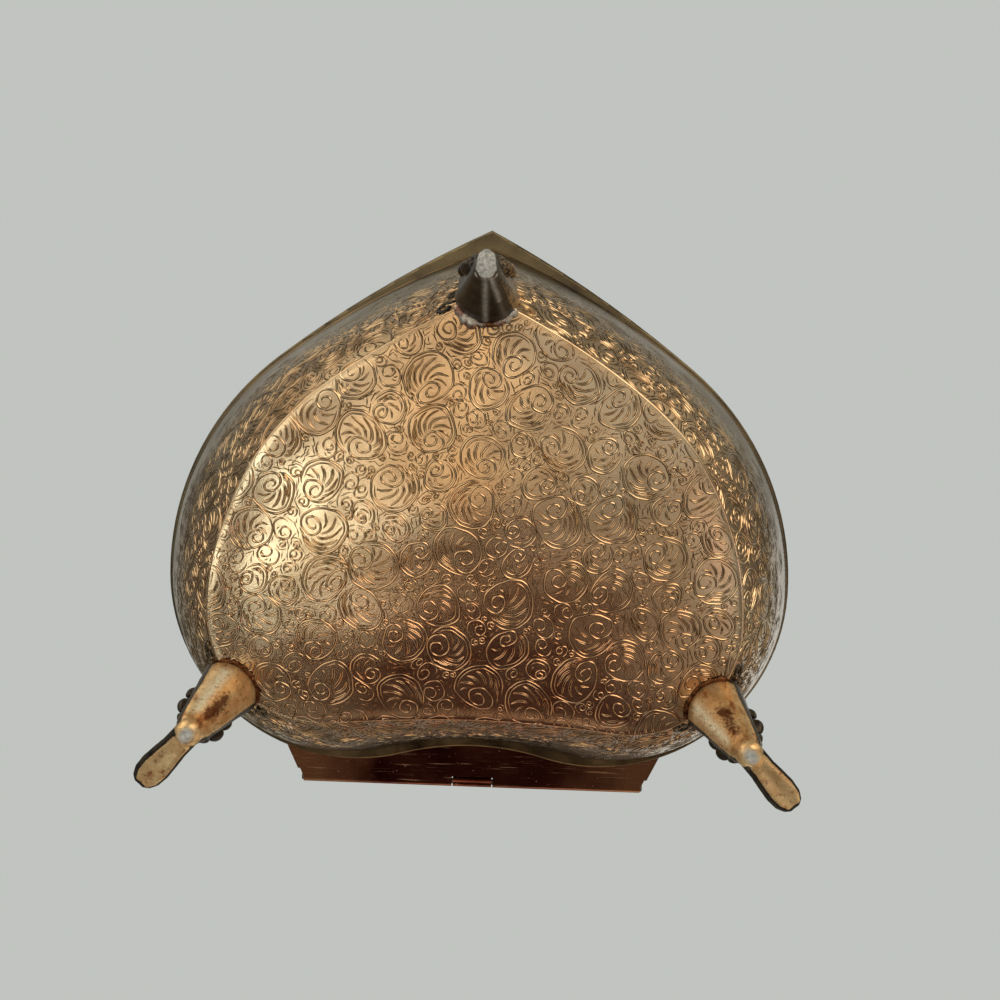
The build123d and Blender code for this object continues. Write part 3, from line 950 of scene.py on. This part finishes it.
# rings of an oval swept through sections, closed at both ends
def ovalLimb(bm, sections, segments, shape):
    before = None
    for number, (reach, z, slope, halfWidth, halfDepth) in enumerate(sections):
        tilt = math.radians(slope)
        acrossDepth = Vector((-math.sin(tilt), 0, math.cos(tilt)))
        ring = bmesh.ops.create_circle(bm, segments=segments, radius=1)["verts"]
        for v in ring:
            wide, deep = shape(math.atan2(v.co.y, v.co.x), number / (len(sections) - 1))
            aside = Vector((0, 1, 0)) * halfWidth * wide
            v.co = Vector((reach, 0, z)) + aside + acrossDepth * halfDepth * deep
        joinRings(bm, before, ring)
        before = ring
    bmesh.ops.contextual_create(bm, geom=before)


# a tapering tube along points, closed: for curls and ribs
def tendril(bm, points, widths, segments=8):
    before = None
    for index, (point, width) in enumerate(zip(points, widths)):
        ahead = points[min(index + 1, len(points) - 1)] - points[max(index - 1, 0)]
        turned = Matrix.Translation(point) @ ahead.to_track_quat("Z", "Y").to_matrix().to_4x4()
        ring = bmesh.ops.create_circle(bm, segments=segments, radius=width, matrix=turned)["verts"]
        joinRings(bm, before, ring)
        before = ring
    bmesh.ops.contextual_create(bm, geom=before)


# a flattened drop
def leafLobe(bm, place, size, turn, side):
    made = bmesh.ops.create_uvsphere(bm, u_segments=14, v_segments=9, radius=1)["verts"]
    for v in made:
        droop = 1 - 0.35 * max(-v.co.z, 0)
        v.co = Vector((v.co.x * 0.6 * droop, v.co.y * 0.62 * droop, v.co.z))
    spin = Euler((math.radians(turn) * side, math.radians(-12), 0)).to_matrix().to_4x4()
    bmesh.ops.transform(bm, verts=made, matrix=Matrix.Translation(place) @ spin @ Matrix.Scale(size, 4))


# the outer side of the leg is fluted, the inner side is half round
def legShape(angle, share):
    deep, wide = math.cos(angle), math.sin(angle)
    flute = 1 + 0.07 * math.cos(7 * angle) * (1 if deep > 0 else 0)
    return wide * flute, deep * flute


# the underside of the toe is hollowed
def toeShape(angle, share):
    deep, wide = math.cos(angle), math.sin(angle)
    spoon = 0.55 * math.exp(-(wide / 0.6) ** 2) * min(share * 3, 1) if deep < 0 else 0
    return wide, deep * (1 - spoon)


# the broken foot is slimmer towards the ground
def slimmed(wide, z, broken):
    return wide * min(0.7 + 0.025 * z, 1) if broken else wide


# two lobes and a vein at each place down one edge of the leg
def leafyEdge(bm, side, foot):
    for z, reach, wide, size, lean in footMaker["lobes"]:
        wide = slimmed(wide, z, foot["broken"])
        size *= foot["chance"].uniform(0.86, 1.12)
        turn = lean + foot["chance"].uniform(-6, 6)
        leafLobe(bm, Vector((reach, side * wide, z)), size, turn, side)
        leafLobe(bm, Vector((reach + 0.9, side * wide * 0.62, z - 0.5)), size * 0.8, lean, side)
        root, tip = Vector((1.75, 0, z - 2.4)), Vector((reach + 0.9, side * wide * 0.95, z + 0.7))
        tendril(bm, [root.lerp(tip, share) for share in (0, 0.35, 0.7, 1)], (0.5, 0.45, 0.35, 0.2))


# curls at one side of the root, lying on the wall
def rootCurls(bm, side, foot):
    for z, first, grow, width in footMaker["curls"]:
        points, widths = [], []
        for share in [step / 16 for step in range(17)]:
            swing = math.radians(-60 + 400 * share)
            radius = grow * (1 - 0.75 * share)
            across = side * (first + grow * 1.1 + radius * math.sin(swing))
            start = foot["place"] @ Vector((20, across, z + radius * math.cos(swing) * 0.9))
            points.append(foot["place"].inverted() @ castRay(shellTree, start, -foot["out"]))
            widths.append(width * (1 - 0.35 * share))
        tendril(bm, points, widths)


# the whole foot before it is cut, in its own frame, melted into one
def footBlank(name, foot):
    bm = bmesh.new()
    ovalLimb(bm, foot["leg"], 32, legShape)
    ovalLimb(bm, footMaker["stub" if foot["broken"] else "toe"], 28, toeShape)
    halfLong, halfWide, halfHigh, middleZ = footMaker["heel"]
    if foot["broken"]:
        halfWide *= footMaker["brokenHeel"]
    heel = bmesh.ops.create_uvsphere(bm, u_segments=24, v_segments=16, radius=1)["verts"]
    for v in heel:
        v.co = Vector((v.co.x * halfLong - 0.1, v.co.y * halfWide, max(v.co.z * halfHigh + middleZ, 0.02)))
    for side in (-1, 1):
        leafyEdge(bm, side, foot)
        rootCurls(bm, side, foot)
    # down the outer side
    midrib = [Vector((1.5 + 0.02 * z, 0, z)) for z in np.linspace(21, 3.2, 9)]
    tendril(bm, midrib, [0.9 - 0.05 * number for number in range(9)])
    return melt(bm, name, footMaker["voxel"], footMaker["rounds"])


# the heel runs into the leg and the toe without a line, and is worn flat where it stands
def wearHeel(mesh):
    bm = bmesh.new()
    bm.from_mesh(mesh)
    heel = [v for v in bm.verts if v.co.z < 4.2 and abs(v.co.x) < 3.4]
    for _ in range(footMaker["heelRounds"]):
        bmesh.ops.smooth_vert(bm, verts=heel, factor=0.5, use_axis_x=True, use_axis_y=True, use_axis_z=True)
    standing = min(v.co.z for v in heel) + footMaker["wear"]
    for v in heel:
        v.co.z = max(v.co.z, standing)
    bm.to_mesh(mesh)
    bm.free()


# the filled bowl, a little smaller, that the feet are cut back to
def bowlCutter():
    stations = [0.05, 0.3, 0.6, 0.85, 0.97, 1.0, 1.05, 1.2, 1.4, 1.6, 1.8, 2.0]
    bm = growSheet(bowlSheet, 120, stations, 1, lambda angle, station: np.full(len(angle), footMaker["skin"]))
    bmesh.ops.contextual_create(bm, geom=[e for e in bm.edges if e.is_boundary])
    bmesh.ops.recalc_face_normals(bm, faces=bm.faces)
    return writeMesh(bm, "bowlCutter")


def cutToBowl(mesh, name, cutter):
    holder = addObject(name + "Blank", mesh)
    cut = holder.modifiers.new("cut", "BOOLEAN")
    cut.operation = "DIFFERENCE"
    cut.solver = "EXACT"
    cutterObject = addObject("cutter", cutter)
    cut.object = cutterObject
    made = bakeModifiers(holder)
    bpy.data.objects.remove(cutterObject)
    return made


# cuts the toe off and gives the break enough points to be rough
def breakToe(bm, point, normal):
    cutEdges = bmesh.ops.bisect_plane(bm, geom=[*bm.verts, *bm.edges, *bm.faces], plane_co=point,
                                      plane_no=normal, clear_outer=True)["geom_cut"]
    bmesh.ops.holes_fill(bm, edges=[e for e in cutEdges if isinstance(e, bmesh.types.BMEdge)], sides=0)
    bmesh.ops.triangulate(bm, faces=[f for f in bm.faces if len(f.verts) > 12])
    rough = [f for f in bm.faces if f.normal.dot(normal) > 0.97
             and abs((f.calc_center_median() - point).dot(normal)) < 0.01]
    inner = {e for f in rough for e in f.edges if e.calc_length() > 0.35}
    bmesh.ops.subdivide_edges(bm, edges=list(inner), cuts=3, use_grid_fill=True)


# how gilded, bare, brightened and browned a point of a whole foot is: the brightening is a painted
# highlight down one side of the leg, partly rubbed plating, and the gilding lasts inside the leg and
# under the toe
def wholeMarks(v, reach, aside, foot):
    low = v.co.z
    legHalf, legReach = foot["legAt"](low)
    gilt = 1.8 * (legHalf * 0.93 - abs(aside))
    gilt = min(gilt, 1.2 * (legReach + 0.5 - reach), 1.5 * (14.9 - low))
    if low > 15.4 and abs(aside) > 3.4:
        gilt = max(gilt, -0.1)
    if low < 4.4 and reach > -0.6:
        toeHalf = np.interp(reach, *[[section[n] for section in footMaker["toe"]] for n in (0, 3)])
        sole = 1.5 * (-v.normal.z - 0.1) + 2.5 * (toeHalf - 1.05 - abs(aside + 0.25))
        gilt = max(gilt, min(sole, 3.0 * (10.1 - reach)))
    across = aside / legHalf
    onLeg = smoothStep((low - 2.4) / 2) * smoothStep((14.6 - low) / 2)
    # painted highlight down one side of the leg, partly rubbed plating
    rubbed = math.exp(-((across - 0.5) / 0.24) ** 2) * onLeg
    brown = 0.8 * math.exp(-((across + 0.14) / 0.34) ** 2) * onLeg * smoothStep((11.5 - low) / 3.5)
    worn = 1.5 * (1.2 - math.hypot(reach * 0.75 + 0.1, aside)) if v.normal.z < -0.3 and low < 2.5 else 0
    return gilt, worn, rubbed, brown


# the same for the broken foot, almost all dark, whose break is bare and rough, with pale grey
# streaks down the middle and the right side of the leg that are painted highlights, partly bare metal
def brokenMarks(v, reach, aside, foot):
    low = v.co.z
    across = aside / foot["legAt"](low)[0]
    gilt = -0.4 if abs(across) < 0.85 and reach < 1.0 else -0.2 + 0.04 * aside
    under = v.normal.z < -0.35 and low < 2.4 and reach > -1.7 and abs(aside) < 1.5
    if under or abs((v.co - foot["breakPoint"]).dot(foot["breakNormal"])) < 0.03:
        jag = math.sin(reach * 5.1 + aside * 3.3) * math.sin(aside * 6.7 - reach * 2.9)
        v.co.z += max(0.14 * jag, 0) + foot["chance"].uniform(0, 0.07)
        return gilt, 1.0, 0, 0
    # painted highlights, partly bare metal: pale grey down the middle and the right side of the leg
    middle = math.exp(-((aside + 0.1) / 0.42) ** 2)
    right = math.exp(-((aside - 0.35 - 0.17 * low) / 0.36) ** 2) * (1.0 if low < 9 else 0.3)
    return gilt, 0.62 * max(middle, right) * (1 if reach < 0.2 else 0), 0, 0


def castFoot(name, cutter):
    x, y, turn = footMaker["places"][name]
    out = Vector((math.cos(math.radians(turn)), math.sin(math.radians(turn)), 0))
    lean = math.radians(footMaker["breakLean"])
    broken = name == "foot_front"
    leg = [(reach, z, slope, slimmed(wide, z, broken), deep)
           for reach, z, slope, wide, deep in footMaker["leg"]]
    heights, halfWidths, reaches = [[section[n] for section in leg][::-1] for n in (1, 3, 0)]
    foot = {
        "place": Matrix.Translation((x, y, 0)) @ Matrix.Rotation(math.radians(turn), 4, "Z"),
        "out": out,
        "broken": broken,
        "chance": random.Random(name),
        "leg": leg,
        "legAt": lambda z: (float(np.interp(z, heights, halfWidths)), np.interp(z, heights, reaches)),
        "breakPoint": Vector((x, y, 0)) + out * footMaker["breakReach"],
        "breakNormal": out * math.cos(lean) + Vector((0, 0, math.sin(lean))),
    }
    mesh = footBlank(name, foot)
    wearHeel(mesh)
    mesh.transform(foot["place"])
    mesh = cutToBowl(mesh, name, cutter)
    bm = bmesh.new()
    bm.from_mesh(mesh)
    if broken:
        breakToe(bm, foot["breakPoint"], foot["breakNormal"])
    bmesh.ops.remove_doubles(bm, verts=bm.verts, dist=0.004)
    bm.normal_update()
    rows = []
    for v in bm.verts:
        local = v.co - Vector((x, y, 0))
        reach, aside = local.dot(out), local.dot(Vector((-out.y, out.x, 0)))
        gilt, worn, rubbed, brown = (brokenMarks if broken else wholeMarks)(v, reach, aside, foot)
        rows.append((min(max(0.5 + gilt, 0), 1), min(max(worn, 0), 1), rubbed, brown))
    piece = finishMesh(bm, name + "_casting", footMetal, "box")
    for attribute, values in zip(footMarks, zip(*rows)):
        setAttribute(piece.data, attribute, values)
    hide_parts(name)
    print(name, len(piece.data.polygons), "faces")


print("feet")
shellTree = rayTree("body_shell")
cutterMesh = bowlCutter()
for name in footMaker["places"]:
    castFoot(name, cutterMesh)

print("solder")
# soft solder round the roots of the feet: thin and brown behind, a pale blob at the front
solderMaker = {
    "reach": -2.7, "deep": 4.15, "wide": 4.75, "voxel": 0.13, "rounds": 4,
    # from angle, to angle, count, smallest and largest blob
    "runs": {
        "foot_front": ((-62, -20, 9, 0.55, 0.95), (-20, 30, 6, 0.3, 0.5), (30, 62, 6, 0.35, 0.6)),
        "foot_back_left": ((-68, 68, 22, 0.26, 0.42),),
        "foot_back_right": ((-68, 68, 22, 0.26, 0.42),),
    },
}
chance = random.Random(31)
bm = bmesh.new()
for name, runs in solderMaker["runs"].items():
    x, y, turn = footMaker["places"][name]
    spin = Matrix.Translation((x, y, 0)) @ Matrix.Rotation(math.radians(turn), 4, "Z")
    for first, last, count, small, large in runs:
        for number in range(count):
            swing = math.radians(first + (last - first) * (number + chance.uniform(0.2, 0.8)) / count)
            size = chance.uniform(small, large)
            spread = 1 + chance.uniform(-0.03, 0.05) * size
            inward = solderMaker["reach"] - solderMaker["deep"] * spread * math.cos(swing)
            place = spin @ Vector((inward, solderMaker["wide"] * spread * math.sin(swing), 0))
            place = castRay(shellTree, Vector((place.x, place.y, -20)), upwards)
            blob = bmesh.ops.create_uvsphere(bm, u_segments=12, v_segments=8, radius=size)["verts"]
            bmesh.ops.scale(bm, verts=blob, vec=(chance.uniform(1.0, 1.5), chance.uniform(1.0, 1.5), 0.55))
            bmesh.ops.translate(bm, verts=blob, vec=place)
mesh = melt(bm, "solder", solderMaker["voxel"], solderMaker["rounds"])
# burnt brown but for the middle of the front foot's run
flux = [min(max((y + 30) / 4, 1 - (x - 0.6) ** 2 / 3.5, 0), 1) for x, y, _ in readPoints(mesh)]
bm = bmesh.new()
bm.from_mesh(mesh)
solder = finishMesh(bm, "solder_runs", solderMetal, "box")
setAttribute(solder.data, "flux", flux)
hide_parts("foot_solder")

print("lid")
lidMaker = {"segments": 240, "thick": 0.55, "polish": 0.75, "dents": (9, 0.09), "shoulder": 0.93}


# the dome of the lid, from its middle over the shoulder to where it meets the flange
def measureDome():
    tree = rayTree("lid_shell")
    low, high = [corner.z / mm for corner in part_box("lid_shell")[:2]]
    runs = []
    for out in rayDirections():
        foot = wallRadius(tree, out, low + 0.12)
        top = []
        for share in np.linspace(0, 1, 30):
            radius = foot * lidMaker["shoulder"] * share
            over = heartMiddle + out * radius + Vector((0, 0, high + 20))
            top.append((radius, castRay(tree, over, -upwards).z))
        side = [top[-1]]
        for share in np.linspace(0, 1, 14)[1:]:
            z = top[-1][1] * (1 - share) + (low + 0.1) * share
            side.append((wallRadius(tree, out, z), z))
        runs.append((top, side))
    return gatherSheet(runs, lidMaker["dents"])


domeSheet = measureDome()
domeStations = [*np.linspace(0.03, 1.0, 30), *np.linspace(1.06, 2.0, 16)]
dome = pressedSkin("lid_dome", domeSheet, lidMaker, domeStations, -1, "lid")
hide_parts("lid_shell")
lidPattern = dict(bowlPattern, seed=21, fadeTo=1.75, fadeOver=0.3)
raiseScrolls("lid_scrolls", domeSheet, -1, lidPattern, 0.72, "lid")

print("velvet")
# guessed inside: two stuffed pads, and the lining of the wall in soft gathers
padMaker = {
    "voxel": 0.95, "rounds": 8, "frames": 14, "pressure": 4.0, "cap": 0.45, "held": 0.3, "simScale": 0.01,
    "fill": 0.7,
}


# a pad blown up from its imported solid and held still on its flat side
def stuffedPad(name, source, body, flatLow, grow):
    mesh = melt(mergedCopy(source), name, padMaker["voxel"], padMaker["rounds"])
    start = readPoints(mesh)
    start[:, :2] = (start[:, :2] - (0, formed["middleY"])) * grow + (0, formed["middleY"])
    mesh.vertices.foreach_set("co", start.ravel() * padMaker["simScale"])
    holder = addObject(name, mesh)
    flat = start[:, 2].min() if flatLow else start[:, 2].max()
    held = [int(n) for n in np.nonzero(np.abs(start[:, 2] - flat) < padMaker["held"])[0]]
    holder.vertex_groups.new(name="held").add(held, 1.0, "REPLACE")
    stuffing = holder.modifiers.new("stuffing", "CLOTH").settings
    stuffing.use_pressure = True
    stuffing.uniform_pressure_force = padMaker["pressure"]
    stuffing.effector_weights.gravity = 0
    stuffing.vertex_group_mass = "held"
    for number in range(1, padMaker["frames"] + 1):
        scene.frame_set(number)
    blown = bpy.data.meshes.new_from_object(holder.evaluated_get(bpy.context.evaluated_depsgraph_get()))
    bpy.data.objects.remove(holder)
    scene.frame_set(1)
    moved = readPoints(blown) / padMaker["simScale"] - start
    length = np.linalg.norm(moved, axis=1)[:, None]
    print(name, "swelled by up to", round(float(length.max()), 2), "mm")
    moved *= np.minimum(padMaker["cap"] / np.maximum(length, 1e-6), 1)
    blown.vertices.foreach_set("co", (start + moved).ravel())
    holder = addObject(name, blown)
    rounder = holder.modifiers.new("rounder", "SUBSURF")
    rounder.levels = rounder.render_levels = 1
    bm = bmesh.new()
    bm.from_mesh(bakeModifiers(holder))
    pad = finishMesh(bm, name, redVelvet, body)
    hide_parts(source)


stuffedPad("velvet_pad_base", "base_pad", "box", True, 1.012)
stuffedPad("velvet_pad_lid", "lid_pad", "lid", False, 1.026)

liningMaker = {
    "segments": 360, "from": 1.045, "to": 1.955, "rows": 16, "clear": 0.72, "deep": 0.28, "thick": 0.7,
    "gathers": 46, "width": 26.5,
}


def liningLift(angle, station):
    gather = 0.5 + 0.5 * np.sin(angle * liningMaker["gathers"] + 1.3 * np.sin(angle * 5) + 0.8 * station)
    return -liningMaker["clear"] - liningMaker["deep"] * gather


rows = np.linspace(liningMaker["from"], liningMaker["to"], liningMaker["rows"])
bm = growSheet(bowlSheet, liningMaker["segments"], rows, 1, liningLift, fan=False)
bmesh.ops.recalc_face_normals(bm, faces=bm.faces)
bm.normal_update()
if max(bm.faces, key=lambda f: f.calc_center_median().x).normal.x < 0:
    bmesh.ops.reverse_faces(bm, faces=bm.faces)
bm.normal_update()
# the strip is as long as the mouth edge and as wide as the wall's slant, and was cut shorter below
clothArea = sum(f.calc_area() for f in bm.faces) * mm * mm
bmesh.ops.solidify(bm, geom=bm.faces, thickness=liningMaker["thick"])
lining = finishMesh(bm, "velvet_lining", redVelvet, "box")
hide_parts("wall_lining")
